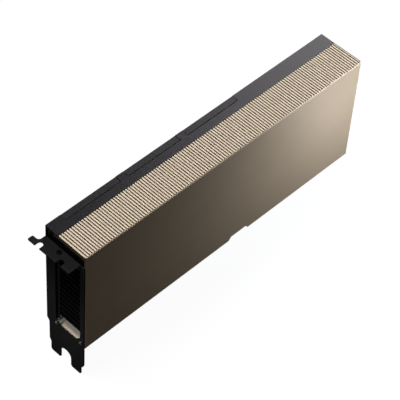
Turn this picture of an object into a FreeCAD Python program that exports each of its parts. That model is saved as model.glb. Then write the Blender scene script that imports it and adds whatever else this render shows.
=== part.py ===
# Passive accelerator card: full height, full length, two slots thick.
#
# The frame is the card's own. The origin is at the edge connector's key slot:
# X runs from the bracket to the tail, Y from the coloured front face to the back,
# and Z up from the lower edge of the contacts. All sizes are in millimetres.

import FreeCAD
import Part
import math
import os

V = FreeCAD.Vector

# Whole card
card_length = 267.7
card_thickness = 38.4
card_height = 111.15
cover_rise = 14.15
key_to_bracket = 57.15
seam = 0.15

# Circuit board
board_thickness = 1.57
back_keepout = 2.67
board_end_gap = 0.4
board_top_gap = 0.2
board_lower_edge = 8.25
key_width = 1.9
short_tongue = 11.65
long_tongue = 71.65
tongue_corner = 1.0
hook_gap = 3.6
hook_width = 4.8
hook_drop = 4.4
hook_toe = 1.6
hole_clearance = 0.2

# Edge contacts
contact_pitch = 1.0
contact_width = 0.7
contact_length = 5.2
contact_skin = 0.05
contact_margin = 0.5
short_contacts = 11
long_contacts = 71

# Front cover
cover_depth = 25.6
front_wall = 1.2
top_wall = 3.4
bottom_wall = 2.2
cover_edge_break = 0.4
rib_pitch = 2.18
groove_width = 1.05
groove_depth = 1.0
relief_from_bracket = 150.35
relief_width = 19.9
relief_slope = 2.4
relief_height = 3.3
relief_reach = 8.0
cover_pad_width = 5.0
cover_pad_height = 6.4
cover_pad_length = 4.0
cover_pad_from_front = 0.8

# Top rail and bridge caps
rail_thickness = 1.75
rail_web = 1.6
rail_drop = 8.5
cap_count = 3
cap_length = 49.5
cap_gap = 6.5
first_cap_from_bracket = 13.0
cap_depth = 5.8
cap_height = 6.5
cap_wall = 1.3
cap_grip_clearance = 0.15
cap_end_room = 0.35
cap_edge_break = 0.3
cap_grip_length = 14.0
cap_grip_depth = 0.5
cap_grip_height = 1.2
cap_grip_drop = 2.4

# Backplate
backplate_thickness = 1.0
retention_window_margin = 6.0
retention_window_corner = 5.0

# Heat sink
base_thickness = 5.0
base_inset = 0.3
foot_inset = 4.5
foot_clear_height = 8.1
foot_lug_height = 5.0
foot_lug_screw_setback = 1.6
fin_pitch = 4.94
fin_thickness = 1.0
first_fin_height = 9.7
fin_foot_thickness = 0.6
fin_foot_gap = 0.2
fin_cover_gap = 0.3
fin_tail_gap = 6.0
top_fin_thickness = 1.9
top_fin_gap = 0.8

# Processor package
package_from_key = 62.0
package_side = 55.0
substrate_thickness = 1.8
frame_width = 4.0
frame_thickness = 0.6
die_head_room = 7.5
die_side_room = 2.4
die_thickness = 0.8
memory_length = 7.5
memory_gap = 0.6
memory_spacing = 1.6
memory_rows = 3
interface_thickness = 0.2
pedestal_margin = 1.0

# Power stages and inductors
stage_rows = 8
stage_foot_gap = 1.1
stage_head_gap = 3.8
inductor_side = 7.0
inductor_thickness = 3.0
stage_length = 5.0
stage_height = 6.0
stage_thickness = 1.0
stage_pad_thickness = 1.2
stage_from_package = 7.0
inductor_from_stage = 2.0
ledge_margin = 1.0

# Small parts on the board
bulk_count = 6
bulk_length = 7.3
bulk_height = 4.3
bulk_thickness = 2.0
bulk_pitch = 8.0
bulk_from_package = 62.0
bulk_gap = 2.0
chip_side = 9.0
chip_thickness = 1.0
chip_pitch = 14.0
chip_count = 3
chips_from_bracket = 18.0
back_capacitor_length = 1.6
back_capacitor_height = 0.8
back_capacitor_thickness = 0.7
back_capacitor_pitch = 2.6
back_capacitor_side_count = 5

# Retention spring plate behind the package
retention_post_gap = 0.7
retention_thickness = 1.0
retention_arm_width = 7.0
retention_ear_radius = 4.6
retention_ring_outer = 34.0
retention_ring_inner = 22.0
retention_screw_radius = 1.4
retention_head_radius = 2.8
retention_head_height = 1.3
drive_span = 3.2
drive_width = 0.7
drive_depth = 0.6
post_radius = 2.8

# Flat-head screws through the backplate and the cover
screw_radius = 1.25
screw_head_radius = 2.3
screw_head_depth = 1.0
screw_clearance = 0.1
screw_reach = 3.2
boss_radius = 2.6
boss_drop = 1.2
post_floor_gap = 0.25
post_from_bracket = 6.0
post_from_window = 4.0
post_from_tail = 9.7
tail_boss_from_tail = 15.7
cover_screw_count = 4
cover_screw_from_bracket = 18.0
cover_screw_from_tail = 12.7
cover_screw_reach = 5.0

# Bracket
sheet = 0.86
bend_radius = 0.6
tongue_drop = 17.62
bracket_front_inset = 0.3
bracket_back_inset = 1.1
neck_back_inset = 3.3
neck_top = 1.9
neck_slope = 3.2
tongue_width = 10.0
tongue_spacing = 20.32
tongue_from_front = 8.2
tongue_corner_cut = 1.2
arch_rise = 8.2
front_shoulder_low = 7.8
front_shoulder_high = 14.5
shoulder_bulge = 0.6
back_shoulder_low = 9.1
back_shoulder_high = 11.8
window_front_inset = 4.2
window_back_inset = 10.0
window_sill = 3.6
window_head_gap = 5.5
window_corner = 4.6

# Bracket's mounting tab and board lug
tab_below_top = 8.75
tab_depth = 11.43
tab_front_inset = 3.4
tab_corner = 0.8
notch_width = 4.42
notch_spacing = 20.32
notch_depth = 5.03
first_notch_from_front = 13.7
hook_arm_reach = 6.9
hook_arm_depth = 4.6
hook_arm_curve = 2.4
tab_hole_radius = 2.1
tab_hole_from_front = 20.5
tab_hole_out = 3.8
lug_length = 11.0
lug_height = 9.0
lug_corner = 2.5
lug_below_tab = 7.5
lug_relief = 0.6
lug_hole_radius = 1.6

# Machine screws with round heads
small_screw_radius = 0.9
small_head_radius = 1.3
small_head_height = 0.8
small_screw_reach = 3.4
small_drive_span = 1.6
small_drive_width = 0.4
small_drive_depth = 0.4
cover_pad_screw_rise = 4.6
lug_screw_radius = 1.4
lug_head_radius = 2.6
lug_head_height = 0.75
nut_across_flats = 5.0
nut_thickness = 1.8

# Power inlet at the tail
inlet_columns = 4
inlet_rows = 2
inlet_pitch = 4.2
inlet_wall = 1.0
inlet_length = 13.0
inlet_cell = 3.5
inlet_cell_depth = 10.0
inlet_from_top = 10.8
inlet_room = 2.0
inlet_latch_width = 4.0
inlet_latch_thickness = 1.0
inlet_latch_length = 3.0
inlet_latch_flat = 1.0
inlet_latch_setback = 1.0
pin_side = 0.9
pin_reach = 8.0

# Tail plate
tail_plate_thickness = 2.0
intake_front_inset = 5.6
intake_back_inset = 1.8
intake_foot = 5.0
intake_head_gap = 5.0
extender_hole_radius = 1.25
extender_front_inset = 3.3
extender_pitch_y = 28.0
extender_foot = 20.0
extender_head_gap = 3.25
tail_screw_foot = 8.0
tail_screw_head_gap = 6.0
tail_screw_grip = 5.0

# Planes and edges that follow from the sizes above
x_bracket = -key_to_bracket
x_tail = x_bracket + card_length
x_plate = x_tail - tail_plate_thickness
z_bottom = cover_rise
z_floor = z_bottom + bottom_wall
z_ceiling = card_height - top_wall
z_rail = card_height - rail_thickness
z_board_top = z_rail - board_top_gap
z_cap = card_height - cap_height
tab_level = card_height - tab_below_top
board_front = -board_thickness / 2
board_back = board_thickness / 2
y_back = board_back + back_keepout
y_front = y_back - card_thickness
y_cover = y_front + cover_depth
base_rear = y_cover + base_thickness
backplate_front = y_back - backplate_thickness
fin_tip = y_front + front_wall + fin_cover_gap
x_fins = x_bracket + base_inset
x_foot = x_bracket + foot_inset
z_foot_clear = z_floor + foot_clear_height
z_top_fin = z_ceiling - top_fin_gap - top_fin_thickness
package_front = board_front - substrate_thickness
die_front = package_front - die_thickness
pedestal_rear = die_front - interface_thickness
inlet_height = inlet_columns * inlet_pitch + 2 * inlet_wall
inlet_depth = inlet_rows * inlet_pitch + 2 * inlet_wall
x_inlet = x_tail - inlet_length
z_inlet_top = z_board_top - inlet_from_top
z_inlet = z_inlet_top - inlet_height
x_inlet_room = x_inlet - inlet_room
z_inlet_room = z_inlet - inlet_room
rail_boss_z = z_rail - boss_radius - boss_drop
post_z = z_floor + boss_radius + post_floor_gap
cap_pitch = cap_length + cap_gap
package_z = (z_bottom + z_cap) / 2
die_height = package_side - 2 * (frame_width + die_head_room)
memory_height = (die_height - (memory_rows - 1) * memory_spacing) / memory_rows
memory_reach = package_side / 2 - frame_width - die_side_room
die_length = 2 * (memory_reach - memory_length - memory_gap)
retention_half_pitch = package_side / 2 + post_radius + retention_post_gap
window_half = retention_half_pitch + retention_window_margin


def block(x0, x1, y0, y1, z0, z1):
    """A box between two corners."""
    return Part.makeBox(x1 - x0, y1 - y0, z1 - z0, V(x0, y0, z0))


def sheet_yz(points, x0, x1):
    """A flat outline in the YZ plane, given its thickness along X."""
    loop = [V(x0, y, z) for y, z in points]
    face = Part.Face(Part.makePolygon(loop + [loop[0]]))
    return face.extrude(V(x1 - x0, 0, 0))


def sheet_xz(points, y0, y1):
    """A flat outline in the XZ plane, given its thickness along Y."""
    loop = [V(x, y0, z) for x, z in points]
    face = Part.Face(Part.makePolygon(loop + [loop[0]]))
    return face.extrude(V(0, y1 - y0, 0))


def sheet_xy(points, z0, z1):
    """A flat outline in the XY plane, given its thickness along Z."""
    loop = [V(x, y, z0) for x, y in points]
    face = Part.Face(Part.makePolygon(loop + [loop[0]]))
    return face.extrude(V(0, 0, z1 - z0))


def rod_x(radius, x0, x1, y, z):
    """A round bar along X."""
    return Part.makeCylinder(radius, x1 - x0, V(x0, y, z), V(1, 0, 0))


def rod_y(radius, y0, y1, x, z):
    """A round bar along Y."""
    return Part.makeCylinder(radius, y1 - y0, V(x, y0, z), V(0, 1, 0))


def rod_z(radius, z0, z1, x, y):
    """A round bar along Z."""
    return Part.makeCylinder(radius, z1 - z0, V(x, y, z0), V(0, 0, 1))


def rounded_block_y(x0, x1, y0, y1, z0, z1, corner):
    """A box whose four edges along Y are rounded."""
    solid = block(x0, x1, y0, y1, z0, z1)
    edges = [e for e in solid.Edges if abs(e.tangentAt(e.FirstParameter).y) > 0.99]
    return solid.makeFillet(corner, edges)


def joined(shapes):
    """One solid from pieces that meet or overlap."""
    return shapes[0].multiFuse(shapes[1:]).removeSplitter()


def less(body, tools):
    """A body with every tool cut out of it."""
    return body.cut(Part.makeCompound(tools))


def flat_screw(length, seat, direction, room=0.0):
    """A countersunk screw: the flat head lies at its seat, and the shank runs along direction."""
    radius = screw_radius + room
    cone = Part.makeCone(screw_head_radius + room, radius, screw_head_depth, seat, direction)
    start = seat + direction * screw_head_depth
    shank = Part.makeCylinder(radius, length - screw_head_depth, start, direction)
    return cone.fuse(shank).removeSplitter()


def flat_screw_hole(length, seat, direction):
    """The countersunk hole that a flat screw sits in."""
    return flat_screw(length, seat, direction, screw_clearance)


def rail_boss_places():
    """Places along X of the rail's bosses: beside and between the bridge caps, and near the tail."""
    first = x_bracket + first_cap_from_bracket
    places = [first + n * cap_pitch - cap_gap / 2 for n in range(cap_count + 1)]
    return places + [x_tail - tail_boss_from_tail]


def lower_post_places():
    """Places along X of the lower posts: at both ends, beside the back window, and one between."""
    beside = window_half + post_from_window
    left = package_from_key - beside
    right = package_from_key + beside
    last = x_tail - post_from_tail
    return [x_bracket + post_from_bracket, left, right, (right + last) / 2, last]


def backplate_seats():
    """Centres, as X and Z, of the screws through the backplate and the board."""
    upper = [(x, rail_boss_z) for x in rail_boss_places()]
    lower = [(x, post_z) for x in lower_post_places()]
    return upper + lower


def retention_seats():
    """Centres, as X and Z, of the four spring-plate screws round the package."""
    half = retention_half_pitch
    return [(package_from_key + a * half, package_z + b * half)
            for a in (-1, 1) for b in (-1, 1)]


def cap_starts():
    """Bracket-side ends of the bridge caps."""
    return [x_bracket + first_cap_from_bracket + n * cap_pitch for n in range(cap_count)]


def stage_columns():
    """Bracket-side edges of the two columns of power stages, with the side their inductors are on."""
    half = package_side / 2
    near = package_from_key - half - stage_from_package - stage_length
    far = package_from_key + half + stage_from_package
    return [(near, -1), (far, 1)]


def inductor_start(stage_x, side):
    """Bracket-side edge of the inductors beside a column of power stages."""
    if side < 0:
        return stage_x - inductor_from_stage - inductor_side
    return stage_x + stage_length + inductor_from_stage


def stage_heights():
    """Centres along Z of the power stages and inductors in a column."""
    first = post_z + boss_radius + stage_foot_gap + inductor_side / 2
    last = z_rail - rail_drop - stage_head_gap - inductor_side / 2
    pitch = (last - first) / (stage_rows - 1)
    return [first + n * pitch for n in range(stage_rows)]


def stage_span():
    """Lowest and highest Z of a column of inductors."""
    heights = stage_heights()
    return heights[0] - inductor_side / 2, heights[-1] + inductor_side / 2


def front_cover():
    """Folded front cover: a plain front face, a floor, and a top with ribs across it."""
    outer = block(x_bracket, x_tail, y_front, y_cover, z_bottom, card_height)
    inner = block(x_bracket - 1, x_tail + 1, y_front + front_wall, y_cover + 1, z_floor, z_ceiling)
    floor_lip = block(x_bracket, x_tail, y_cover, base_rear, z_bottom, z_floor - seam)
    top_lip = block(x_bracket, x_tail, y_cover, base_rear, z_ceiling + seam, z_rail)
    pad_front = y_front + cover_pad_from_front
    pad = block(x_bracket, x_bracket + cover_pad_length, pad_front, pad_front + cover_pad_width,
                z_bottom, z_bottom + cover_pad_height)
    shell = joined([outer.cut(inner), floor_lip, top_lip, pad])
    shell = shell.makeFillet(cover_edge_break, front_face_edges(shell))
    tools = rib_grooves() + [latch_relief()] + cover_screw_holes()
    tools.append(rod_x(small_screw_radius + screw_clearance, x_bracket - 1,
                       x_bracket + cover_pad_length, pad_screw_y(), pad_screw_z()))
    return less(shell, tools)


def front_face_edges(shell):
    """The front face's edges, apart from the ribbed top one."""
    edges = []
    for edge in shell.Edges:
        box = edge.BoundBox
        on_front = box.YMax < y_front + 0.01
        if on_front and box.ZMin < card_height - 0.01:
            edges.append(edge)
    return edges


def rib_grooves():
    """Grooves across the top face, which leave the ribs standing between them."""
    count = int((card_length - groove_width) // rib_pitch)
    used = (count - 1) * rib_pitch + groove_width
    first = x_bracket + (card_length - used) / 2
    return [block(first + n * rib_pitch, first + n * rib_pitch + groove_width,
                  y_front - 1, y_cover, card_height - groove_depth, card_height + 1)
            for n in range(count)]


def latch_relief():
    """A sloped gap in the lower front edge, clear of the slot's latch."""
    centre = x_bracket + relief_from_bracket
    wide = relief_width / 2
    narrow = wide - relief_slope
    top = z_bottom + relief_height
    outline = [(centre - wide, z_bottom), (centre + wide, z_bottom),
               (centre + narrow, top), (centre - narrow, top)]
    return sheet_xz(outline, y_front - 1, y_front + relief_reach)


def cover_screw_seats():
    """Heads of the screws that hold the cover's floor to the heat-sink base."""
    middle = y_cover + base_thickness / 2
    first = x_bracket + cover_screw_from_bracket
    pitch = (x_tail - cover_screw_from_tail - first) / (cover_screw_count - 1)
    return [V(first + n * pitch, middle, z_bottom) for n in range(cover_screw_count)]


def cover_screws():
    """Countersunk screws up through the cover's floor."""
    return [flat_screw(cover_screw_reach + bottom_wall, seat, V(0, 0, 1))
            for seat in cover_screw_seats()]


def cover_screw_holes():
    """Countersunk holes for the cover's screws, in the cover and in the base."""
    return [flat_screw_hole(cover_screw_reach + bottom_wall, seat, V(0, 0, 1))
            for seat in cover_screw_seats()]


def pad_screw_y():
    """Place along Y of the bracket screw that enters the cover's pad."""
    return y_front + cover_pad_from_front + cover_pad_width / 2


def pad_screw_z():
    """Height of the bracket screw that enters the cover's pad."""
    return z_bottom + cover_pad_screw_rise


def top_rail():
    """Black rail over the board's top edge: a flange, a web behind the heat sink, and bosses."""
    flange = block(x_bracket, x_tail, y_cover, y_back, z_rail, card_height)
    web_front = base_rear + seam
    web = block(x_bracket, x_plate - seam, web_front, web_front + rail_web,
                z_rail - rail_drop, z_rail)
    bosses = [rod_y(boss_radius, web_front, board_front, x, rail_boss_z) for x in rail_boss_places()]
    rail = joined([flange, web] + bosses)
    pockets = [block(x, x + cap_length, y_back - cap_depth, y_back + 1,
                     z_rail - 1, card_height + 1) for x in cap_starts()]
    threads = [rod_y(screw_radius + screw_clearance, web_front, board_front + 1, x, rail_boss_z)
               for x in rail_boss_places()]
    return less(rail, pockets + threads)


def bridge_cap(x0):
    """A cap that closes one bridge connector: flush with the rail and gripping the board's tab."""
    x1 = x0 + cap_length
    top = block(x0 + seam, x1 - seam, y_back - cap_depth + seam, y_back,
                z_cap, card_height)
    rim = [e for e in top.Edges if e.BoundBox.ZMin > card_height - 0.01]
    top = top.makeChamfer(cap_edge_break, rim)
    slot_start = x0 + seam + cap_wall
    slot_end = x1 - seam - cap_wall
    grip = cap_grip_clearance
    slot = block(slot_start, slot_end, board_front - grip, board_back + grip,
                 z_cap - 1, z_board_top + grip)
    middle = (x0 + x1) / 2
    groove_top = card_height - cap_grip_drop
    nail_groove = block(middle - cap_grip_length / 2, middle + cap_grip_length / 2,
                        y_back - cap_grip_depth, y_back + 1, groove_top - cap_grip_height, groove_top)
    return less(top, [slot, nail_groove])


def bridge_tab_ends(x0):
    """Ends along X of the board's tab inside a bridge cap."""
    inset = seam + cap_wall + cap_grip_clearance
    return x0 + inset, x0 + cap_length - inset


def circuit_board():
    """Board with its edge tongues, key slot, hook and bridge tabs."""
    x0 = x_bracket + board_end_gap
    x1 = x_plate - board_end_gap
    plate = block(x0, x1, board_front, board_back, board_lower_edge, z_board_top)
    tongue_start = -key_width / 2 - short_tongue
    tongue_end = key_width / 2 + long_tongue
    c = tongue_corner
    rise = board_lower_edge + 1
    tongue = sheet_xz([(tongue_start, rise), (tongue_start, c), (tongue_start + c, 0),
                       (tongue_end - c, 0), (tongue_end, c), (tongue_end, rise)],
                      board_front, board_back)
    hook_start = tongue_end + hook_gap
    hook_foot = board_lower_edge - hook_drop
    hook = sheet_xz([(hook_start, rise), (hook_start, hook_foot + hook_toe),
                     (hook_start - hook_toe, hook_foot + hook_toe), (hook_start - hook_toe, hook_foot),
                     (hook_start + hook_width, hook_foot),
                     (hook_start + hook_width + hook_drop, rise)], board_front, board_back)
    board = joined([plate, tongue, hook])
    key = block(-key_width / 2, key_width / 2, board_front - 1, board_back + 1, -1, board_lower_edge)
    key_round = rod_y(key_width / 2, board_front - 1, board_back + 1, 0, board_lower_edge)
    tools = [key, key_round] + bridge_relief_slots() + board_holes()
    return less(board, tools)


def bridge_relief_slots():
    """Slots in the board's top edge, one at each end of every bridge tab."""
    depth = cap_height - rail_thickness + seam
    tools = []
    for x0 in cap_starts():
        tab_start, tab_end = bridge_tab_ends(x0)
        outer_start = x0 - cap_end_room
        outer_end = x0 + cap_length + cap_end_room
        for a, b in ((outer_start, tab_start), (tab_end, outer_end)):
            tools.append(block(a, b, board_front - 1, board_back + 1, z_rail - depth, z_board_top + 1))
    return tools


def board_holes():
    """Holes through the board for every screw and the bracket's lug."""
    radius = screw_radius + hole_clearance
    tools = [rod_y(radius, board_front - 1, board_back + 1, x, z) for x, z in backplate_seats()]
    wide = retention_screw_radius + hole_clearance
    tools += [rod_y(wide, board_front - 1, board_back + 1, x, z) for x, z in retention_seats()]
    lug_x, lug_z = lug_hole_centre()
    tools.append(rod_y(lug_screw_radius + hole_clearance, board_front - 1, board_back + 1, lug_x, lug_z))
    return tools


def contact_centres():
    """Centres along X of the contacts on one side of the board."""
    short_margin = (short_tongue - (short_contacts - 1) * contact_pitch) / 2
    long_margin = (long_tongue - (long_contacts - 1) * contact_pitch) / 2
    short = [-key_width / 2 - short_margin - n * contact_pitch for n in range(short_contacts)]
    long = [key_width / 2 + long_margin + n * contact_pitch for n in range(long_contacts)]
    return short + long


def edge_contacts(y0, y1):
    """Thin gold strips on one side of the tongue."""
    half = contact_width / 2
    return [block(x - half, x + half, y0, y1, contact_margin, contact_margin + contact_length)
            for x in contact_centres()]


def backplate():
    """Flat black sheet behind the board, with a window for the spring plate and gaps for the caps."""
    plate = block(x_bracket, x_tail, backplate_front, y_back, z_bottom, z_rail - seam)
    window = rounded_block_y(package_from_key - window_half, package_from_key + window_half,
                             backplate_front - 1, y_back + 1, package_z - window_half,
                             package_z + window_half, retention_window_corner)
    tools = [window]
    for x0 in cap_starts():
        tools.append(block(x0 - seam, x0 + cap_length + seam, backplate_front - 1, y_back + 1,
                           z_cap - seam, card_height))
    tools += [flat_screw_hole(backplate_thickness + 1, V(x, y_back, z), V(0, -1, 0))
              for x, z in backplate_seats()]
    return less(plate, tools)


def backplate_screws():
    """Countersunk screws from the back, through the board, into the rail's bosses and lower posts."""
    length = y_back - board_front + screw_reach
    return [flat_screw(length, V(x, y_back, z), V(0, -1, 0)) for x, z in backplate_seats()]


def board_spacers():
    """Rings that hold the backplate clear of the board."""
    rings = []
    for x, z in backplate_seats():
        ring = rod_y(boss_radius, board_back, backplate_front, x, z)
        bore = rod_y(screw_radius + hole_clearance, board_back - 1, backplate_front + 1, x, z)
        rings.append(ring.cut(bore))
    return rings


def heatsink_base():
    """Solid base of the heat sink, with a pedestal, ledges, posts and a foot lug at the bracket."""
    low = z_floor
    high = z_ceiling
    plate = sheet_xz([(x_foot, low), (x_plate, low), (x_plate, z_inlet_room),
                      (x_inlet_room, z_inlet_room), (x_inlet_room, high), (x_fins, high),
                      (x_fins, z_foot_clear), (x_foot, z_foot_clear)], y_cover, base_rear)
    lug = block(x_bracket, x_foot + 1, y_cover, base_rear, low, low + foot_lug_height)
    half = package_side / 2 - frame_width - pedestal_margin
    pedestal = block(package_from_key - half, package_from_key + half, base_rear - 1, pedestal_rear,
                     package_z - half, package_z + half)
    pieces = [plate, lug, pedestal]
    bottom, top = stage_span()
    ledge_rear = board_front - stage_thickness - stage_pad_thickness
    for x, side in stage_columns():
        pieces.append(block(x - ledge_margin / 2, x + stage_length + ledge_margin / 2,
                            base_rear - 1, ledge_rear, bottom, top))
    for x in lower_post_places():
        pieces.append(rod_y(boss_radius, base_rear - 1, board_front, x, post_z))
    for x, z in retention_seats():
        pieces.append(rod_y(post_radius, base_rear - 1, board_front, x, z))
    tools = [rod_y(screw_radius + screw_clearance, board_front - screw_reach, board_front + 1,
                   x, post_z) for x in lower_post_places()]
    tools += [rod_y(retention_screw_radius + screw_clearance, board_front - screw_reach,
                    board_front + 1, x, z) for x, z in retention_seats()]
    tools += cover_screw_holes() + tail_screw_holes()
    tools.append(rod_x(small_screw_radius + screw_clearance, x_bracket - 1,
                       x_foot, lug_screw_y(), lug_screw_z()))
    return less(joined(pieces), tools)


def lug_screw_y():
    """Place along Y of the bracket screw that enters the heat sink's foot lug."""
    return y_cover + foot_lug_screw_setback


def lug_screw_z():
    """Height of the bracket screw that enters the heat sink's foot lug."""
    return z_floor + foot_lug_height / 2


def fin_levels():
    """Middle heights of the plain fins between the floor and the thick top fin."""
    levels = []
    z = z_bottom + first_fin_height
    while z + fin_thickness < z_top_fin:
        levels.append(z)
        z += fin_pitch
    return levels


def fin_end(z):
    """Tail end of a fin: fins beside the power inlet stop short of it."""
    if z + fin_pitch > z_inlet_room:
        return x_inlet_room
    return x_plate - fin_tail_gap


def fin(z):
    """One fin: a thin plate with a foot along the heat-sink base."""
    half = fin_thickness / 2
    foot = min(z - half + fin_pitch, z_top_fin) - fin_foot_gap
    outline = [(y_cover, z - half), (y_cover, foot), (y_cover - fin_foot_thickness, foot),
               (y_cover - fin_foot_thickness, z + half), (fin_tip, z + half), (fin_tip, z - half)]
    return sheet_yz(outline, x_fins, fin_end(z))


def top_fin():
    """The thick fin that closes the stack below the ribbed top and reaches the bracket."""
    return block(x_bracket + seam, fin_end(z_top_fin), fin_tip, y_cover,
                 z_top_fin, z_top_fin + top_fin_thickness)


def package_substrate():
    """Square carrier of the processor and its memory."""
    half = package_side / 2
    return block(package_from_key - half, package_from_key + half, package_front, board_front,
                 package_z - half, package_z + half)


def package_frame():
    """Metal frame round the edge of the carrier."""
    half = package_side / 2
    inner = half - frame_width
    y0 = package_front - frame_thickness
    ring = block(package_from_key - half, package_from_key + half, y0, package_front,
                 package_z - half, package_z + half)
    hole = block(package_from_key - inner, package_from_key + inner, y0 - 1, package_front + 1,
                 package_z - inner, package_z + inner)
    return ring.cut(hole)


def processor_die():
    """The processor itself."""
    return block(package_from_key - die_length / 2, package_from_key + die_length / 2,
                 die_front, package_front, package_z - die_height / 2,
                 package_z + die_height / 2)


def memory_stacks():
    """Three stacks of memory on each side of the processor."""
    pitch = memory_height + memory_spacing
    first = package_z - die_height / 2
    stacks = []
    for n in range(memory_rows):
        z = first + n * pitch
        left = package_from_key - die_length / 2 - memory_gap - memory_length
        right = package_from_key + die_length / 2 + memory_gap
        for x in (left, right):
            stacks.append(block(x, x + memory_length, die_front, package_front, z, z + memory_height))
    return stacks


def die_interface():
    """Soft layer between the processor with its memory and the pedestal."""
    return block(package_from_key - memory_reach, package_from_key + memory_reach, pedestal_rear,
                 die_front, package_z - die_height / 2, package_z + die_height / 2)


def power_stages():
    """Two columns of power stages beside the package."""
    stages = []
    for x, side in stage_columns():
        for z in stage_heights():
            stages.append(block(x, x + stage_length, board_front - stage_thickness, board_front,
                                z - stage_height / 2, z + stage_height / 2))
    return stages


def stage_pads():
    """Soft strips between the power stages and the heat-sink ledges."""
    y0 = board_front - stage_thickness - stage_pad_thickness
    bottom, top = stage_span()
    return [block(x, x + stage_length, y0, y0 + stage_pad_thickness, bottom, top)
            for x, side in stage_columns()]


def inductors():
    """Two columns of inductors, outside the power stages."""
    coils = []
    for x, side in stage_columns():
        x0 = inductor_start(x, side)
        for z in stage_heights():
            coil = block(x0, x0 + inductor_side, board_front - inductor_thickness, board_front,
                         z - inductor_side / 2, z + inductor_side / 2)
            coils.append(coil)
    return coils


def inductor_pads():
    """Soft strips between the inductors and the heat-sink base."""
    bottom, top = stage_span()
    y1 = board_front - inductor_thickness
    strips = []
    for x, side in stage_columns():
        x0 = inductor_start(x, side)
        strips.append(block(x0, x0 + inductor_side, base_rear, y1, bottom, top))
    return strips


def bulk_capacitors():
    """Two columns of input capacitors between the package and the power inlet."""
    first = package_z - (bulk_count - 1) * bulk_pitch / 2
    blocks = []
    for column in range(2):
        x0 = package_from_key + bulk_from_package + column * (bulk_length + bulk_gap)
        for n in range(bulk_count):
            z = first + n * bulk_pitch
            blocks.append(block(x0, x0 + bulk_length, board_front - bulk_thickness, board_front,
                                z - bulk_height / 2, z + bulk_height / 2))
    return blocks


def control_chips():
    """Three flat chips between the bracket and the inductors."""
    x0 = x_bracket + chips_from_bracket
    first = package_z - (chip_count - 1) * chip_pitch / 2
    chips = []
    for n in range(chip_count):
        z0 = first + n * chip_pitch - chip_side / 2
        chips.append(block(x0, x0 + chip_side, board_front - chip_thickness, board_front,
                           z0, z0 + chip_side))
    return chips


def back_capacitors():
    """Small capacitors on the back of the board, under the processor."""
    count = back_capacitor_side_count
    start_x = package_from_key - (count - 1) * back_capacitor_pitch / 2
    start_z = package_z - (count - 1) * back_capacitor_pitch / 2
    half_x = back_capacitor_length / 2
    half_z = back_capacitor_height / 2
    parts = []
    for a in range(count):
        for b in range(count):
            x = start_x + a * back_capacitor_pitch
            z = start_z + b * back_capacitor_pitch
            parts.append(block(x - half_x, x + half_x, board_back,
                               board_back + back_capacitor_thickness, z - half_z, z + half_z))
    return parts


def retention_plate():
    """Spring plate behind the package: a square ring with an arm to each of four screws."""
    y0 = board_back
    y1 = board_back + retention_thickness
    cx = package_from_key
    cz = package_z
    ring_half = retention_ring_outer / 2
    pieces = [block(cx - ring_half, cx + ring_half, y0, y1, cz - ring_half, cz + ring_half)]
    half_width = retention_arm_width / 2
    reach = retention_half_pitch * math.sqrt(2)
    for turn in (45, 135):
        arm = block(-reach, reach, y0, y1, -half_width, half_width)
        arm.rotate(V(0, 0, 0), V(0, 1, 0), turn)
        arm.translate(V(cx, 0, cz))
        pieces.append(arm)
    for x, z in retention_seats():
        pieces.append(rod_y(retention_ear_radius, y0, y1, x, z))
    inner = retention_ring_inner / 2
    tools = [block(cx - inner, cx + inner, y0 - 1, y1 + 1, cz - inner, cz + inner)]
    tools += [rod_y(retention_screw_radius + hole_clearance, y0 - 1, y1 + 1, x, z)
              for x, z in retention_seats()]
    return less(joined(pieces), tools)


def retention_screws():
    """Round-headed screws through the spring plate into the heat sink's posts."""
    seat = board_back + retention_thickness
    top = seat + retention_head_height
    span = drive_span / 2
    width = drive_width / 2
    screws = []
    for x, z in retention_seats():
        head = rod_y(retention_head_radius, seat, top, x, z)
        shank = rod_y(retention_screw_radius, board_front - screw_reach, seat, x, z)
        recess = [block(x - a, x + a, top - drive_depth, top + 1, z - b, z + b)
                  for a, b in ((span, width), (width, span))]
        screws.append(less(joined([head, shank]), recess))
    return screws


def lug_hole_centre():
    """Centre, as X and Z, of the hole in the bracket's lug."""
    x = x_bracket + lug_length - lug_height / 2
    z = tab_level - sheet - lug_below_tab - lug_height / 2
    return x, z


def bracket_outline():
    """Outline of the bracket's upright plate, in the plane of its outer face."""
    x = x_bracket - sheet
    front = y_front + bracket_front_inset
    back = y_back - bracket_back_inset
    neck = y_back - neck_back_inset
    top = tab_level - sheet - bend_radius
    foot = -tongue_drop
    front_out = y_front + tongue_from_front - tongue_width / 2
    front_in = front_out + tongue_width
    back_in = front_out + tongue_spacing
    back_out = back_in + tongue_width
    middle = (front_in + back_in) / 2
    spring = foot + arch_rise
    arch_top = spring + (back_in - front_in) / 2
    cut = tongue_corner_cut
    low = foot + front_shoulder_low
    high = foot + front_shoulder_high
    bulge = ((front + front_out) / 2 - shoulder_bulge, (low + high) / 2 - shoulder_bulge)
    step = z_bottom + neck_top

    def point(place):
        return V(x, place[0], place[1])

    def run(*places):
        ends = [point(place) for place in places]
        return [Part.LineSegment(a, b).toShape() for a, b in zip(ends, ends[1:])]

    def arc(start, through, end):
        return [Part.Arc(point(start), point(through), point(end)).toShape()]

    edges = run((front, high), (front, top), (back, top), (back, step), (neck, step - neck_slope),
                (neck, foot + back_shoulder_high), (back_out, foot + back_shoulder_low),
                (back_out, foot + cut), (back_out - cut, foot), (back_in + cut, foot),
                (back_in, foot + cut), (back_in, spring))
    edges += arc((back_in, spring), (middle, arch_top), (front_in, spring))
    edges += run((front_in, spring), (front_in, foot + cut), (front_in - cut, foot),
                 (front_out + cut, foot), (front_out, foot + cut), (front_out, low))
    edges += arc((front_out, low), bulge, (front, high))
    return Part.Wire(edges)


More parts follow.
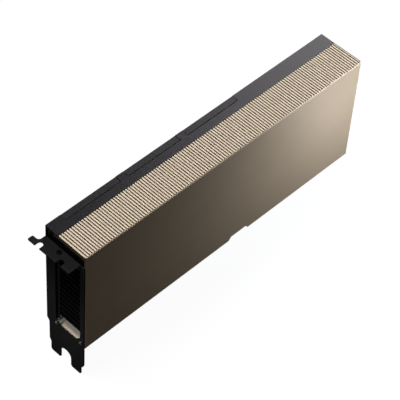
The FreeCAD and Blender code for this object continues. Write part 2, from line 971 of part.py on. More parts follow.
def bracket_window():
    """Vent window through the upright plate, with cut corners at its sill."""
    y0 = y_front + window_front_inset
    y1 = y_back - window_back_inset
    z0 = z_bottom + window_sill
    z1 = tab_level - sheet - window_head_gap
    cut = window_corner
    outline = [(y0, z0 + cut), (y0 + cut, z0), (y1 - cut, z0), (y1, z0 + cut), (y1, z1), (y0, z1)]
    return sheet_yz(outline, x_bracket - sheet - 1, x_bracket + 1)


def notch_places():
    """Centres of the two screw notches' round ends, as X and Y."""
    x = x_bracket - tab_depth + notch_depth - notch_width / 2
    y = y_front + first_notch_from_front
    return [(x, y), (x, y + notch_spacing)]


def mounting_tab():
    """The bracket's tab: two screw notches, a round hole and a hooked arm."""
    out = x_bracket - tab_depth
    root = x_bracket - sheet - bend_radius
    front = y_front + tab_front_inset
    back = y_back - bracket_back_inset
    low = tab_level - sheet
    half = notch_width / 2
    arm_start = out + hook_arm_depth
    arm_end = notch_places()[1][1] + half + hook_arm_reach
    curve = hook_arm_curve
    plate = sheet_xy([(root, front), (out, front), (out, arm_end), (arm_start, arm_end),
                      (arm_start, back), (root, back)], low, tab_level)
    corners = [(out, front), (out, arm_end), (arm_start, arm_end)]
    plate = plate.makeFillet(tab_corner, upright_edges(plate, corners))
    plate = plate.makeFillet(curve, upright_edges(plate, [(arm_start, back)]))
    tools = []
    for x, y in notch_places():
        tools.append(block(out - 1, x, y - half, y + half, low - 1, tab_level + 1))
        tools.append(rod_z(half, low - 1, tab_level + 1, x, y))
    tools.append(rod_z(tab_hole_radius, low - 1, tab_level + 1, x_bracket - tab_hole_out,
                       y_front + tab_hole_from_front))
    return less(plate, tools)


def upright_edges(shape, corners):
    """Edges along Z that stand at the given X and Y."""
    found = []
    for edge in shape.Edges:
        box = edge.BoundBox
        for x, y in corners:
            if abs(box.XMin - x) < 0.01 and abs(box.XMax - x) < 0.01 \
                    and abs(box.YMin - y) < 0.01 and abs(box.YMax - y) < 0.01:
                found.append(edge)
    return found


def bracket_bend():
    """Rounded fold between the upright plate and the tab."""
    y0 = y_front + tab_front_inset
    y1 = y_back - bracket_back_inset
    centre_x = x_bracket - sheet - bend_radius
    centre_z = tab_level - sheet - bend_radius
    outer = bend_radius + sheet
    ring = Part.makeCylinder(outer, y1 - y0, V(centre_x, y0, centre_z), V(0, 1, 0))
    ring = ring.cut(Part.makeCylinder(bend_radius, y1 - y0, V(centre_x, y0, centre_z), V(0, 1, 0)))
    keep = block(centre_x, centre_x + outer + 1, y0, y1, centre_z, centre_z + outer + 1)
    return ring.common(keep)


def bracket_lug():
    """Lug folded back along the board, round at its free end, with the hole for its screw."""
    x1 = x_bracket + lug_length
    lug_x, lug_z = lug_hole_centre()
    z0 = lug_z - lug_height / 2
    z1 = lug_z + lug_height / 2
    plate = block(x_bracket - sheet, x1, board_back, board_back + sheet, z0, z1)
    tip = [e for e in plate.Edges if e.BoundBox.XMin > x1 - 0.01 and e.BoundBox.ZLength < 0.01]
    plate = plate.makeFillet(lug_corner, tip)
    hole = rod_y(lug_hole_radius, board_back - 1, board_back + sheet + 1, lug_x, lug_z)
    return plate.cut(hole)


def lug_gap():
    """What the lug's fold leaves open in the upright plate: beside, over and under the lug."""
    lug_x, lug_z = lug_hole_centre()
    z0 = lug_z - lug_height / 2
    z1 = lug_z + lug_height / 2
    x0 = x_bracket - sheet - 1
    x1 = x_bracket + 1
    whole = block(x0, x1, board_back, y_back + 1, z0 - lug_relief, z1 + lug_relief)
    return whole.cut(block(x0, x1, board_back, board_back + sheet, z0, z1))


def bracket():
    """Folded steel bracket: upright plate, vent window, mounting tab and board lug."""
    plate = Part.Face(bracket_outline()).extrude(V(sheet, 0, 0))
    plate = less(plate, [bracket_window(), lug_gap()])
    folded = joined([plate, bracket_bend(), mounting_tab(), bracket_lug()])
    tools = [rod_x(small_screw_radius + hole_clearance, x_bracket - sheet - 1, x_bracket + 1, y, z)
             for y, z in sill_screw_places()]
    return less(folded, tools)


def sill_screw_places():
    """Centres, as Y and Z, of the two screws at the bracket's sill."""
    return [(pad_screw_y(), pad_screw_z()), (lug_screw_y(), lug_screw_z())]


def bracket_screws():
    """The two screws at the bracket's sill, into the cover's pad and the heat sink's foot lug."""
    seat = x_bracket - sheet
    top = seat - small_head_height
    span = small_drive_span / 2
    width = small_drive_width / 2
    screws = []
    for y, z in sill_screw_places():
        head = rod_x(small_head_radius, top, seat, y, z)
        shank = rod_x(small_screw_radius, seat, x_bracket + small_screw_reach, y, z)
        recess = [block(top - 1, top + small_drive_depth, y - a, y + a, z - b, z + b)
                  for a, b in ((span, width), (width, span))]
        screws.append(less(joined([head, shank]), recess))
    return screws


def lug_screw():
    """The screw through the bracket's lug and the board."""
    x, z = lug_hole_centre()
    seat = board_back + sheet
    head = rod_y(lug_head_radius, seat, seat + lug_head_height, x, z)
    shank = rod_y(lug_screw_radius, board_front - nut_thickness, seat, x, z)
    return joined([head, shank])


def lug_nut():
    """Hexagonal nut on the board's front, for the lug's screw."""
    x, z = lug_hole_centre()
    corner = nut_across_flats / math.sqrt(3)
    points = [(x + corner * math.cos(math.radians(60 * n)), z + corner * math.sin(math.radians(60 * n)))
              for n in range(6)]
    nut = sheet_xz(points, board_front - nut_thickness, board_front)
    return nut.cut(rod_y(lug_screw_radius + screw_clearance, board_front - nut_thickness - 1,
                         board_front + 1, x, z))


def inlet_cells():
    """Centres, as Y and Z, of the power inlet's cells."""
    cells = []
    for column in range(inlet_columns):
        z = z_inlet + inlet_wall + inlet_pitch * (column + 0.5)
        for row in range(inlet_rows):
            y = board_front - inlet_wall - inlet_pitch * (row + 0.5)
            cells.append((y, z))
    return cells


def power_inlet():
    """Housing of the eight-way power inlet, open towards the tail, with a latch bar."""
    y0 = board_front - inlet_depth
    body = block(x_inlet, x_tail, y0, board_front, z_inlet, z_inlet_top)
    middle = (z_inlet + z_inlet_top) / 2
    half = inlet_latch_width / 2
    latch_end = x_tail - inlet_latch_setback
    latch_top = latch_end - inlet_latch_flat
    crest = y0 - inlet_latch_thickness
    latch = sheet_xy([(latch_top - inlet_latch_length, y0), (latch_top, crest), (latch_end, crest),
                      (latch_end, y0)], middle - half, middle + half)
    side = inlet_cell / 2
    cells = [block(x_tail - inlet_cell_depth, x_tail + 1, y - side, y + side, z - side, z + side)
             for y, z in inlet_cells()]
    pins = [block(x_inlet - 1, x_tail, y - pin_side / 2, y + pin_side / 2,
                  z - pin_side / 2, z + pin_side / 2) for y, z in inlet_cells()]
    return less(joined([body, latch]), cells + pins)


def inlet_pins():
    """Square pins inside the power inlet."""
    half = pin_side / 2
    floor = x_tail - inlet_cell_depth
    return [block(x_inlet, floor + pin_reach, y - half, y + half, z - half, z + half)
            for y, z in inlet_cells()]


def tail_plate():
    """Plate at the tail, with the air intake, the inlet's gap and threads for an extender."""
    y0 = y_front + front_wall + seam
    plate = block(x_plate, x_tail, y0, backplate_front - seam, z_floor + seam, z_ceiling - seam)
    intake = block(x_plate - 1, x_tail + 1, y_front + intake_front_inset + front_wall,
                   y_cover - intake_back_inset, z_floor + intake_foot, z_inlet - intake_head_gap)
    latch_room = inlet_latch_thickness + 2 * seam
    gap = block(x_plate - 1, x_tail + 1, board_front - inlet_depth - latch_room, board_front + seam,
                z_inlet - seam, z_inlet_top + seam)
    holes = [rod_x(extender_hole_radius, x_plate - 1, x_tail + 1, y, z) for y, z in extender_seats()]
    return less(plate, [intake, gap] + holes + tail_screw_holes())


def extender_seats():
    """Centres, as Y and Z, of the threaded holes for a card extender."""
    y0 = y_front + front_wall + extender_front_inset
    low = z_floor + extender_foot
    high = z_inlet - extender_head_gap
    return [(y, z) for y in (y0, y0 + extender_pitch_y) for z in (low, high)]


def tail_screw_seats():
    """Heads of the screws that hold the tail plate to the heat-sink base."""
    y = y_cover + base_thickness / 2
    low = z_floor + tail_screw_foot
    high = z_inlet_room - tail_screw_head_gap
    return [V(x_tail, y, z) for z in (low, high)]


def tail_screws():
    """Countersunk screws along X through the tail plate."""
    length = tail_plate_thickness + tail_screw_grip
    return [flat_screw(length, seat, V(-1, 0, 0)) for seat in tail_screw_seats()]


def tail_screw_holes():
    """Countersunk holes for the tail's screws."""
    length = tail_plate_thickness + tail_screw_grip
    return [flat_screw_hole(length, seat, V(-1, 0, 0)) for seat in tail_screw_seats()]


def pieces():
    """Every piece of the card, by name. A list is a group of like pieces."""
    skin = contact_skin
    named = {
        "bracket": bracket(),
        "front_cover": front_cover(),
        "top_rail": top_rail(),
        "backplate": backplate(),
        "circuit_board": circuit_board(),
        "edge_contacts_front": edge_contacts(board_front - skin, board_front),
        "edge_contacts_back": edge_contacts(board_back, board_back + skin),
        "package_substrate": package_substrate(),
        "package_frame": package_frame(),
        "processor_die": processor_die(),
        "memory_stacks": memory_stacks(),
        "die_interface": die_interface(),
        "heatsink_base": heatsink_base(),
        "top_fin": top_fin(),
        "power_stages": power_stages(),
        "stage_pads": stage_pads(),
        "inductors": inductors(),
        "inductor_pads": inductor_pads(),
        "bulk_capacitors": bulk_capacitors(),
        "control_chips": control_chips(),
        "back_capacitors": back_capacitors(),
        "retention_plate": retention_plate(),
        "retention_screws": retention_screws(),
        "power_inlet": power_inlet(),
        "inlet_pins": inlet_pins(),
        "tail_plate": tail_plate(),
        "tail_screws": tail_screws(),
        "bracket_screws": bracket_screws(),
        "lug_screw": lug_screw(),
        "lug_nut": lug_nut(),
        "backplate_screws": backplate_screws(),
        "board_spacers": board_spacers(),
        "cover_screws": cover_screws(),
    }
    for n, x0 in enumerate(cap_starts(), 1):
        named["bridge_cap_%d" % n] = bridge_cap(x0)
    for n, z in enumerate(fin_levels(), 1):
        named["fin_%02d" % n] = fin(z)
    return named


os.makedirs("parts", exist_ok=True)
for name, shape in pieces().items():
    if isinstance(shape, list):
        shape = Part.makeCompound(shape)
    shape.exportStep("parts/%s.step" % name)
    print(name, len(shape.Solids), "solids", round(shape.Volume, 1), "mm3")
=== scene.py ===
from math import pi, radians

import bpy
from mathutils import Matrix, Vector


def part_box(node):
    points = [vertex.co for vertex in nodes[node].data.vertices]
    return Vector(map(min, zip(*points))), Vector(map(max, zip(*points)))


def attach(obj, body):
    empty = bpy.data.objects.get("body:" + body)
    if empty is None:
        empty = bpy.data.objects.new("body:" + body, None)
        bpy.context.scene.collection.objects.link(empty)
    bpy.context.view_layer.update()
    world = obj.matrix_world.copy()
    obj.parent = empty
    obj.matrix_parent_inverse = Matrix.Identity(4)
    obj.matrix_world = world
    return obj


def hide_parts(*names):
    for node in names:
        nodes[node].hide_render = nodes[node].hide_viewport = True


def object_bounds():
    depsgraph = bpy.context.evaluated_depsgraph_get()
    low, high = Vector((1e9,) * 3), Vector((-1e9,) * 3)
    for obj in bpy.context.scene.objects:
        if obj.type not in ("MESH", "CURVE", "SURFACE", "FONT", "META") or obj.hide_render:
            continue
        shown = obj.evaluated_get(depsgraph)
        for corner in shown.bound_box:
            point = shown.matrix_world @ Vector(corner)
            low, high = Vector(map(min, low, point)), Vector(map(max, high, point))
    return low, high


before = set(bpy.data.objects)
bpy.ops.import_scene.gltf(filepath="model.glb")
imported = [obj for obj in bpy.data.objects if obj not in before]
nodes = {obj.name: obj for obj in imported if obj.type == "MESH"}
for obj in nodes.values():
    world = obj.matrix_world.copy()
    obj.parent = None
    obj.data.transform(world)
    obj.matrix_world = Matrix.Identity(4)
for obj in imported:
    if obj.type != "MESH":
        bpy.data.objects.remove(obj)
cad_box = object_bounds()

MM = 0.001
PLAIN_WHITE = (1, 1, 1, 1)

# Camera, in metres in the part's own frame, with its lens and sensor in millimetres
CAMERA_PLACE = Vector((-0.54735, -0.56035, 0.99075))
CAMERA_FORWARD = Vector((0.4951, 0.4364, -0.7513))
CAMERA_UP = Vector((0.5096, 0.5545, 0.6579))
CAMERA_LENS = 159.5
SENSOR_WIDTH = 36.0

# Floor and backdrop: half the floor's side in metres, its colour, and how strongly both shine to each ray
FLOOR_HALF = 12.0
FLOOR_COLOR = (0.09, 0.09, 0.09, 1)
FLOOR_WHITE = 0.95
FLOOR_REFLECTED = 0.01
FLOOR_AMBIENT = 0.0
WORLD_WHITE = 1.0
WORLD_REFLECTED = 0.03
WORLD_AMBIENT = 0.008

# The colour of the two lamps that make the front face's sheen
SHEEN = (0.87, 1.0, 1.25)

# Small changes to two kinds of solid, each at its lowest end along an axis (0 is x, 1 is y)
END_DEPTH = 0.1 * MM
FIN_SET_BACK = 4 * MM
CAP_CLOSING = 0.12 * MM

# Where a tone begins and where it is full: an axis and two places on it, in metres
FROM_GROOVES_UP = ("Z", 0.1100, 0.1101)
BEHIND_FACE = ("Y", -0.0346, -0.0344)
COVER_FLOOR = ("Z", 0.0166, 0.0164)
WITHIN_COVER = ("Y", -0.0340, -0.0338)
ON_RIBS = ("Z", 0.11085, 0.11105)
SHORT_OF_TAIL = ("X", 0.2099, 0.2097)
NEAR_BRACKET = ("X", -0.0565, -0.0568)
NEAR_TOP = ("Z", 0.1094, 0.1097)
ON_FACE = ("Y", -0.0342, -0.0345)
COVER_END = ("X", -0.0568, -0.0571)
BASE_END = ("X", -0.0561, -0.0563)
ABOVE_LUG = ("Z", 0.0243, 0.0245)


def linear(red, green, blue):
    """An 8-bit screen colour as a linear colour."""
    return tuple((c / 255) ** 2.2 for c in (red, green, blue)) + (1,)


def scaled(color, factor):
    """A lighter or darker colour of the same hue."""
    return tuple(min(1.0, c * factor) for c in color[:3]) + (1,)


def placed(name, data):
    """A new object with this data, in the scene."""
    thing = bpy.data.objects.new(name, data)
    bpy.context.scene.collection.objects.link(thing)
    return thing


class Finish:
    """A material under construction: one Principled shader and the textures that feed it."""

    def __init__(self, name, color, roughness, metallic=0.0, specular=0.5):
        self.material = bpy.data.materials.new(name)
        self.material.use_nodes = True
        self.material.diffuse_color = color
        self.tree = self.material.node_tree
        self.shader = self.tree.nodes["Principled BSDF"]
        self.set("Base Color", color)
        self.set("Roughness", roughness)
        self.set("Metallic", metallic)
        self.set("Specular IOR Level", specular)
        self.where = self.add("ShaderNodeTexCoord").outputs["Object"]
        self.normal = None

    def set(self, socket, value):
        self.shader.inputs[socket].default_value = value

    def add(self, kind, **values):
        node = self.tree.nodes.new(kind)
        for key, value in values.items():
            setattr(node, key, value)
        return node

    def link(self, source, target):
        self.tree.links.new(source, target)

    def mapped(self, socket, values):
        """The object's coordinates, scaled or turned by three values."""
        mapping = self.add("ShaderNodeMapping")
        mapping.inputs[socket].default_value = values
        self.link(self.where, mapping.inputs["Vector"])
        return mapping.outputs["Vector"]

    def noise(self, size, detail=3.0, stretch=None):
        """Noise from 0 to 1 whose grains are about size metres across."""
        texture = self.add("ShaderNodeTexNoise")
        texture.inputs["Scale"].default_value = 1 / size
        texture.inputs["Detail"].default_value = detail
        where = self.mapped("Scale", stretch) if stretch else self.where
        self.link(where, texture.inputs["Vector"])
        return texture.outputs["Fac"]

    def math(self, operation, first, second):
        node = self.add("ShaderNodeMath", operation=operation)
        self.link(first, node.inputs[0])
        self.link(second, node.inputs[1])
        return node.outputs[0]

    def ramp(self, source, low, high, low_to=0.0, high_to=1.0):
        """The source from low to high, turned smoothly into low_to to high_to."""
        node = self.add("ShaderNodeMapRange", interpolation_type="SMOOTHSTEP")
        for key, value in (("From Min", low), ("From Max", high), ("To Min", low_to), ("To Max", high_to)):
            node.inputs[key].default_value = value
        self.link(source, node.inputs["Value"])
        return node.outputs["Result"]

    def dots(self, pitch, core, rim, share=1.0):
        """Round dots about a pitch apart: a share inside core and 0 beyond rim, both in pitches."""
        texture = self.add("ShaderNodeTexVoronoi")
        texture.inputs["Scale"].default_value = 1 / pitch
        self.link(self.where, texture.inputs["Vector"])
        return self.ramp(texture.outputs["Distance"], core, rim, share, 0.0)

    def past(self, axis, begin, full):
        """A mask along one axis: 0 before begin and 1 beyond full, which may lie either way."""
        split = self.add("ShaderNodeSeparateXYZ")
        self.link(self.where, split.inputs[0])
        return self.ramp(split.outputs[axis], begin, full)

    def blend_color(self, mask, other):
        """Where the mask is 1, the base colour becomes the other colour."""
        mix = self.add("ShaderNodeMix", data_type="RGBA")
        before = self.shader.inputs["Base Color"]
        if before.is_linked:
            self.link(before.links[0].from_socket, mix.inputs["A"])
        else:
            mix.inputs["A"].default_value = before.default_value
        mix.inputs["B"].default_value = other
        self.link(mask, mix.inputs["Factor"])
        self.link(mix.outputs["Result"], before)
        return self

    def tone(self, color, first, second):
        """Where both places are full, the base colour becomes this colour."""
        return self.blend_color(self.math("MULTIPLY", self.past(*first), self.past(*second)), color)

    def mottle(self, color, size, share, low=0.4, high=0.8, detail=4, stretch=None):
        """Soft patches about size metres across that take up to a share of another colour."""
        patches = self.ramp(self.noise(size, detail, stretch), low, high, 0.0, share)
        return self.blend_color(patches, color)

    def speckle(self, color, pitch, rim, share):
        """Soft dots, about a pitch apart, that take up to a share of another colour."""
        return self.blend_color(self.dots(pitch, 0.0, rim, share), color)

    def vary_roughness(self, mask, low, high):
        """Roughness from low to high over the middle half of the mask."""
        self.link(self.ramp(mask, 0.25, 0.75, low, high), self.shader.inputs["Roughness"])
        return self

    def set_normal(self, node):
        self.normal = node.outputs["Normal"]
        self.link(self.normal, self.shader.inputs["Normal"])
        return self

    def bump(self, height, distance, strength):
        """Raises the surface by distance metres where the height is 1."""
        node = self.add("ShaderNodeBump")
        node.inputs["Strength"].default_value = strength
        node.inputs["Distance"].default_value = distance
        self.link(height, node.inputs["Height"])
        if self.normal:
            self.link(self.normal, node.inputs["Normal"])
        return self.set_normal(node)

    def soft_edges(self, radius):
        """Rounds the look of sharp edges, so that they catch the light."""
        node = self.add("ShaderNodeBevel", samples=6)
        node.inputs["Radius"].default_value = radius
        return self.set_normal(node)

    def grain(self, size, depth, low, high, stretch=None):
        """Fine surface grain: a bump, and a roughness from low to high that varies with it."""
        fine = self.noise(size, stretch=stretch)
        self.vary_roughness(fine, low, high)
        return self.bump(fine, depth, 0.6)


# Anodised cover: champagne, bead-blasted and satin, with painted light on the rib tops, the face's edges and
# the floor inside the window, and painted shade in the grooves and on the cover's end
GOLD = (0.45, 0.326, 0.196, 1)
GROOVE_SHADE = (0.20, 0.144, 0.094, 1)
INNER_FLOOR_LIGHT = (0.80, 0.70, 0.58, 1)
RIB_TOP_LIGHT = (0.98, 0.83, 0.645, 1)
EDGE_HIGHLIGHT = (0.80, 0.65, 0.46, 1)
COVER_END_SHADE = (0.16, 0.118, 0.078, 1)
gold = Finish("satin_champagne", GOLD, 0.5, metallic=0.2, specular=0.3).soft_edges(0.25 * MM)
gold.grain(0.12 * MM, 0.004 * MM, 0.45, 0.60)
# Painted shade: the groove floors between the ribs, behind the front face, are painted dark
gold.tone(GROOVE_SHADE, FROM_GROOVES_UP, BEHIND_FACE)
# Painted light: the cover's floor seen through the window is painted pale, as if lit from above
gold.tone(INNER_FLOOR_LIGHT, COVER_FLOOR, WITHIN_COVER)
gold.mottle(scaled(GOLD, 0.86), 22 * MM, 0.25, 0.35, 0.75)
gold.mottle(scaled(GOLD, 1.14), 0.35 * MM, 0.22, 0.45, 0.8, detail=2)
# Painted light: the rib tops short of the tail are painted pale, as if lit from above
gold.tone(RIB_TOP_LIGHT, ON_RIBS, SHORT_OF_TAIL)
# Painted highlight: a thin pale line on the front face along its edges at the bracket and at the top
highlighted_edges = gold.math("MAXIMUM", gold.past(*NEAR_BRACKET), gold.past(*NEAR_TOP))
gold.blend_color(gold.math("MULTIPLY", highlighted_edges, gold.past(*ON_FACE)), EDGE_HIGHLIGHT)
# Painted shade: the cover's end at the bracket is painted dark
gold.blend_color(gold.past(*COVER_END), COVER_END_SHADE)

# Powder coat of the bracket
COAT = (0.0125, 0.0125, 0.013, 1)
powder = Finish("powder_coat_black", COAT, 0.55, specular=0.12).soft_edges(0.2 * MM)
powder.grain(0.35 * MM, 0.02 * MM, 0.42, 0.58).mottle(scaled(COAT, 1.7), 9 * MM, 0.4)

# Anodised sheet of the backplate and tail, rolled lengthwise
sheet = Finish("anodised_sheet_black", linear(30, 30, 32), 0.45, metallic=0.3).soft_edges(0.15 * MM)
sheet.grain(0.15 * MM, 0.004 * MM, 0.4, 0.52, stretch=(0.08, 1, 1)).mottle(linear(42, 42, 45), 30 * MM, 0.35)

# Black mouldings: a coarse grain on the rail, a finer one on the caps, and a faintly purple gloss on both
MOULD = linear(18, 17, 19)
MOULD_GLOSS = (1.0, 0.94, 1.0, 1)
moulding = Finish("grained_moulding", MOULD, 0.5).soft_edges(0.2 * MM)
moulding.grain(0.22 * MM, 0.006 * MM, 0.32, 0.42).mottle(scaled(MOULD, 1.3), 14 * MM, 0.3)
moulding.set("Specular Tint", MOULD_GLOSS)
cap = Finish("smooth_moulding", scaled(MOULD, 1.15), 0.4).soft_edges(0.25 * MM)
cap.grain(0.12 * MM, 0.005 * MM, 0.36, 0.46).mottle(scaled(MOULD, 0.9), 10 * MM, 0.3)
cap.set("Specular Tint", MOULD_GLOSS)


def plated(name, color, roughness, brush=(1, 1, 1), dull=0.7):
    """Plated or bare metal with fine scratches along one way and a few spots of another shade."""
    metal = Finish(name, color, roughness, metallic=1.0).soft_edges(0.08 * MM)
    metal.grain(0.1 * MM, 0.002 * MM, roughness - 0.07, roughness + 0.09, stretch=brush)
    return metal.mottle(scaled(color, dull), 1.6 * MM, 0.6, 0.5, 0.75)


def epoxy(name, color, roughness=0.5):
    """Filled resin with fine pale dots of filler."""
    body = Finish(name, color, roughness).soft_edges(0.1 * MM)
    body.grain(0.08 * MM, 0.004 * MM, roughness - 0.08, roughness + 0.08)
    return body.speckle(scaled(color, 2.2), 0.12 * MM, 0.35, 0.35)


# Circuit board: solder mask with fine tracks and plated holes showing through
MASK = linear(14, 24, 20)
TRACK_GRID = {"Scale": 1.0, "Mortar Size": 0.1 * MM, "Mortar Smooth": 0.1, "Bias": 0.0,
              "Brick Width": 5.3 * MM, "Row Height": 0.9 * MM}
board = Finish("solder_mask", MASK, 0.28).soft_edges(0.1 * MM)
grid = board.add("ShaderNodeTexBrick", offset=0.37, offset_frequency=3, squash=0.6, squash_frequency=2)
for socket, value in TRACK_GRID.items():
    grid.inputs[socket].default_value = value
board.link(board.mapped("Rotation", (pi / 2, 0, 0)), grid.inputs["Vector"])
tracks = grid.outputs["Fac"]
board.blend_color(tracks, scaled(MASK, 2.4))
vias = board.dots(1.9 * MM, 0.10, 0.16)
board.blend_color(vias, linear(120, 104, 60))
board.bump(board.math("ADD", tracks, vias), 0.01 * MM, 0.5)
board.vary_roughness(board.noise(6 * MM, 4), 0.22, 0.36)

# Metals
ALONG_X = (0.1, 1, 1)
FINE_ALONG_X = (0.05, 1, 1)
ALONG_Z = (1, 1, 0.1)
BASE_END_SHADE = (0.03, 0.028, 0.026, 1)
gold_plate = plated("contact_gold", (0.78, 0.52, 0.20, 1), 0.26, ALONG_Z, dull=0.82)
steel = plated("spring_steel", (0.46, 0.46, 0.47, 1), 0.34, ALONG_X)
nickel = plated("nickel_plate", (0.66, 0.64, 0.60, 1), 0.28)
black_oxide = plated("black_oxide", (0.045, 0.045, 0.048, 1), 0.42, dull=1.6)
tin = plated("tin_plate", (0.68, 0.66, 0.60, 1), 0.32, ALONG_X)
machined = plated("machined_aluminium", (0.62, 0.63, 0.64, 1), 0.36, FINE_ALONG_X, dull=0.85)
# Painted shade: the heat sink base's end at the bracket, above the lug, is painted dark
machined.tone(BASE_END_SHADE, BASE_END, ABOVE_LUG)
# Painted shade: the fins are aluminium painted near black for the shade behind the bracket, while the base
# and top fin keep the bare colour
dark_fin = plated("oxidised_aluminium", (0.012, 0.012, 0.013, 1), 0.5, FINE_ALONG_X)
stiffener = plated("stiffener_plate", (0.58, 0.57, 0.54, 1), 0.32, ALONG_X)

# Resins, plastics and pads
carrier = epoxy("carrier_laminate", linear(32, 82, 58), 0.35)
silicon = epoxy("polished_silicon", linear(62, 62, 72), 0.16)
memory = epoxy("moulded_stack", linear(48, 48, 54), 0.25)
chip = epoxy("moulded_epoxy", linear(24, 24, 25))
powder_iron = epoxy("pressed_powder", linear(82, 82, 84), 0.62)
capacitor = epoxy("polymer_capacitor", linear(52, 46, 40), 0.4)
ceramic = epoxy("ceramic_chip", linear(150, 118, 84), 0.34)
NYLON = linear(26, 26, 27)
nylon = Finish("glass_filled_nylon", NYLON, 0.5).soft_edges(0.12 * MM)
nylon.grain(0.18 * MM, 0.01 * MM, 0.42, 0.62)
nylon.mottle(scaled(NYLON, 1.5), 3 * MM, 0.5, 0.4, 0.7, detail=5, stretch=(0.3, 1, 1))
pad = Finish("silicone_pad", linear(150, 156, 166), 0.8)
pad.grain(0.3 * MM, 0.03 * MM, 0.7, 0.9).speckle(linear(196, 200, 206), 0.3 * MM, 0.4, 0.4)

FINISHES = {
    "front_cover": gold, "bracket": powder, "backplate": sheet, "tail_plate": sheet,
    "top_rail": moulding, "circuit_board": board, "edge_contacts_front": gold_plate,
    "edge_contacts_back": gold_plate, "package_substrate": carrier, "package_frame": stiffener,
    "processor_die": silicon, "memory_stacks": memory, "die_interface": pad, "stage_pads": pad,
    "inductor_pads": pad, "heatsink_base": machined, "top_fin": machined, "power_stages": chip,
    "control_chips": chip, "inductors": powder_iron, "bulk_capacitors": capacitor,
    "back_capacitors": ceramic, "retention_plate": steel, "retention_screws": nickel,
    "power_inlet": nylon, "inlet_pins": tin, "tail_screws": black_oxide,
    "bracket_screws": steel, "lug_screw": black_oxide, "lug_nut": black_oxide,
    "backplate_screws": black_oxide, "board_spacers": black_oxide, "cover_screws": black_oxide,
}
for name, node in nodes.items():
    if name.startswith("fin_"):
        finish = dark_fin
    elif name.startswith("bridge_cap_"):
        finish = cap
    else:
        finish = FINISHES[name]
    node.data.materials.clear()
    node.data.materials.append(finish.material)


def reshaped(node, name, axis, shift):
    """A copy of a node whose lowest end along an axis is moved by shift metres, in the node's place."""
    mesh = nodes[node].data.copy()
    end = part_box(node)[0][axis] + END_DEPTH
    for vertex in mesh.vertices:
        if vertex.co[axis] < end:
            vertex.co[axis] += shift
    piece = placed(name, mesh)
    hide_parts(node)
    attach(piece, "root")


# The lowest fin ends short of the others at the bracket, so that the cover's floor shows in the window.
# The caps' long joint with the rail is a hair line.
reshaped("fin_01", "fin_01_short", 0, FIN_SET_BACK)
for number in (1, 2, 3):
    reshaped(f"bridge_cap_{number}", f"bridge_cap_{number}_close", 1, -CAP_CLOSING)


# Floor and world: white to the camera, and dim in reflections and in what lights the object
def seen_strength(tree, to_camera, in_reflections, otherwise):
    """A strength by kind of ray: the camera's, reflected or passing rays, and the rest."""
    path = tree.nodes.new("ShaderNodeLightPath")

    def calculated(operation, first, second):
        node = tree.nodes.new("ShaderNodeMath")
        node.operation = operation
        for socket, value in zip(node.inputs, (first, second)):
            if isinstance(value, float):
                socket.default_value = value
            else:
                tree.links.new(value, socket)
        return node.outputs[0]

    camera_part = calculated("MULTIPLY", path.outputs["Is Camera Ray"], to_camera - otherwise)
    reflected = calculated("MAXIMUM", path.outputs["Is Glossy Ray"], path.outputs["Is Transmission Ray"])
    reflected_part = calculated("MULTIPLY", reflected, in_reflections - otherwise)
    return calculated("ADD", calculated("ADD", camera_part, reflected_part), otherwise)


floor_mesh = bpy.data.meshes.new("floor")
lowest = cad_box[0].z
corners = [(x * FLOOR_HALF, y * FLOOR_HALF, lowest) for x, y in ((-1, -1), (1, -1), (1, 1), (-1, 1))]
floor_mesh.from_pydata(corners, [], [(0, 1, 2, 3)])
floor = placed("floor", floor_mesh)
floor_material = bpy.data.materials.new("pale_floor")
floor_material.use_nodes = True
tree = floor_material.node_tree
tree.nodes.clear()
diffuse = tree.nodes.new("ShaderNodeBsdfDiffuse")
diffuse.inputs["Color"].default_value = FLOOR_COLOR
glow = tree.nodes.new("ShaderNodeEmission")
floor_strength = seen_strength(tree, FLOOR_WHITE, FLOOR_REFLECTED, FLOOR_AMBIENT)
tree.links.new(floor_strength, glow.inputs["Strength"])
both = tree.nodes.new("ShaderNodeAddShader")
tree.links.new(diffuse.outputs[0], both.inputs[0])
tree.links.new(glow.outputs[0], both.inputs[1])
output = tree.nodes.new("ShaderNodeOutputMaterial")
tree.links.new(both.outputs[0], output.inputs["Surface"])
floor_mesh.materials.append(floor_material)

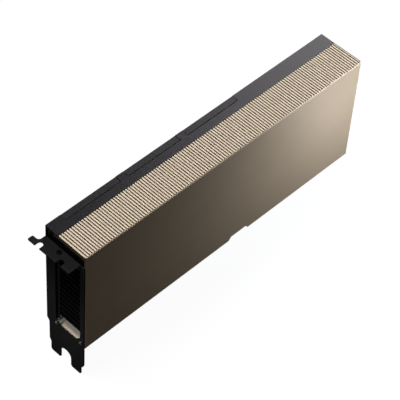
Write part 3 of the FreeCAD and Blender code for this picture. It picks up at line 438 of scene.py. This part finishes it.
world = bpy.data.worlds.new("studio")
world.use_nodes = True
bpy.context.scene.world = world
tree = world.node_tree
studio = tree.nodes["Background"]
studio.inputs["Color"].default_value = PLAIN_WHITE
world_strength = seen_strength(tree, WORLD_WHITE, WORLD_REFLECTED, WORLD_AMBIENT)
tree.links.new(world_strength, studio.inputs["Strength"])


def lamp(name, place, target, width, height, power, spread=180, color=PLAIN_WHITE[:3]):
    """An area lamp at a place, pointed at a target, in metres, watts and degrees."""
    data = bpy.data.lights.new(name, "AREA")
    data.shape = "RECTANGLE"
    data.size, data.size_y = width, height
    data.energy = power
    data.spread = radians(spread)
    data.color = color
    lit = placed(name, data)
    lit.location = place
    lit.rotation_mode = "QUATERNION"
    lit.rotation_quaternion = (Vector(target) - Vector(place)).to_track_quat("-Z", "Y")
    lit.visible_camera = False


# Two large lamps above, two small ones near the tail for the face's sheen, one for the window's foot,
# and two low ones that fill the back and the tail
lamp("key", (1.18, 0.62, 1.05), (0.15, 0, 0.1), 0.5, 0.5, 5.9)
lamp("top", (-0.25, 0.15, 1.12), (0.03, 0, 0.06), 0.3, 0.3, 7.3)
lamp("side", (0.212, -0.145, 0.110), (0.212, -0.035, 0.095), 0.05, 0.05, 0.222, color=SHEEN)
lamp("low", (0.240, -0.105, 0.010), (0.205, -0.035, 0.010), 0.04, 0.04, 0.021, color=SHEEN)
lamp("window", (-0.20, -0.020, 0.17), (-0.052, -0.018, 0.018), 0.03, 0.03, 0.0033, spread=24)
lamp("back", (0.07, 1.30, 0.045), (0.07, 0, 0.045), 0.5, 0.12, 5.5)
lamp("tail", (1.30, 0.00, 0.045), (0.10, 0, 0.045), 0.5, 0.12, 4.5)

camera_data = bpy.data.cameras.new("camera")
camera_data.lens = CAMERA_LENS
camera_data.sensor_width = SENSOR_WIDTH
camera = placed("camera", camera_data)
backward = -CAMERA_FORWARD.normalized()
right = CAMERA_UP.cross(backward).normalized()
turn = Matrix((right, backward.cross(right), backward)).transposed().to_4x4()
camera.matrix_world = Matrix.Translation(CAMERA_PLACE) @ turn
bpy.context.scene.camera = camera
bpy.context.scene.view_settings.view_transform = "Standard"
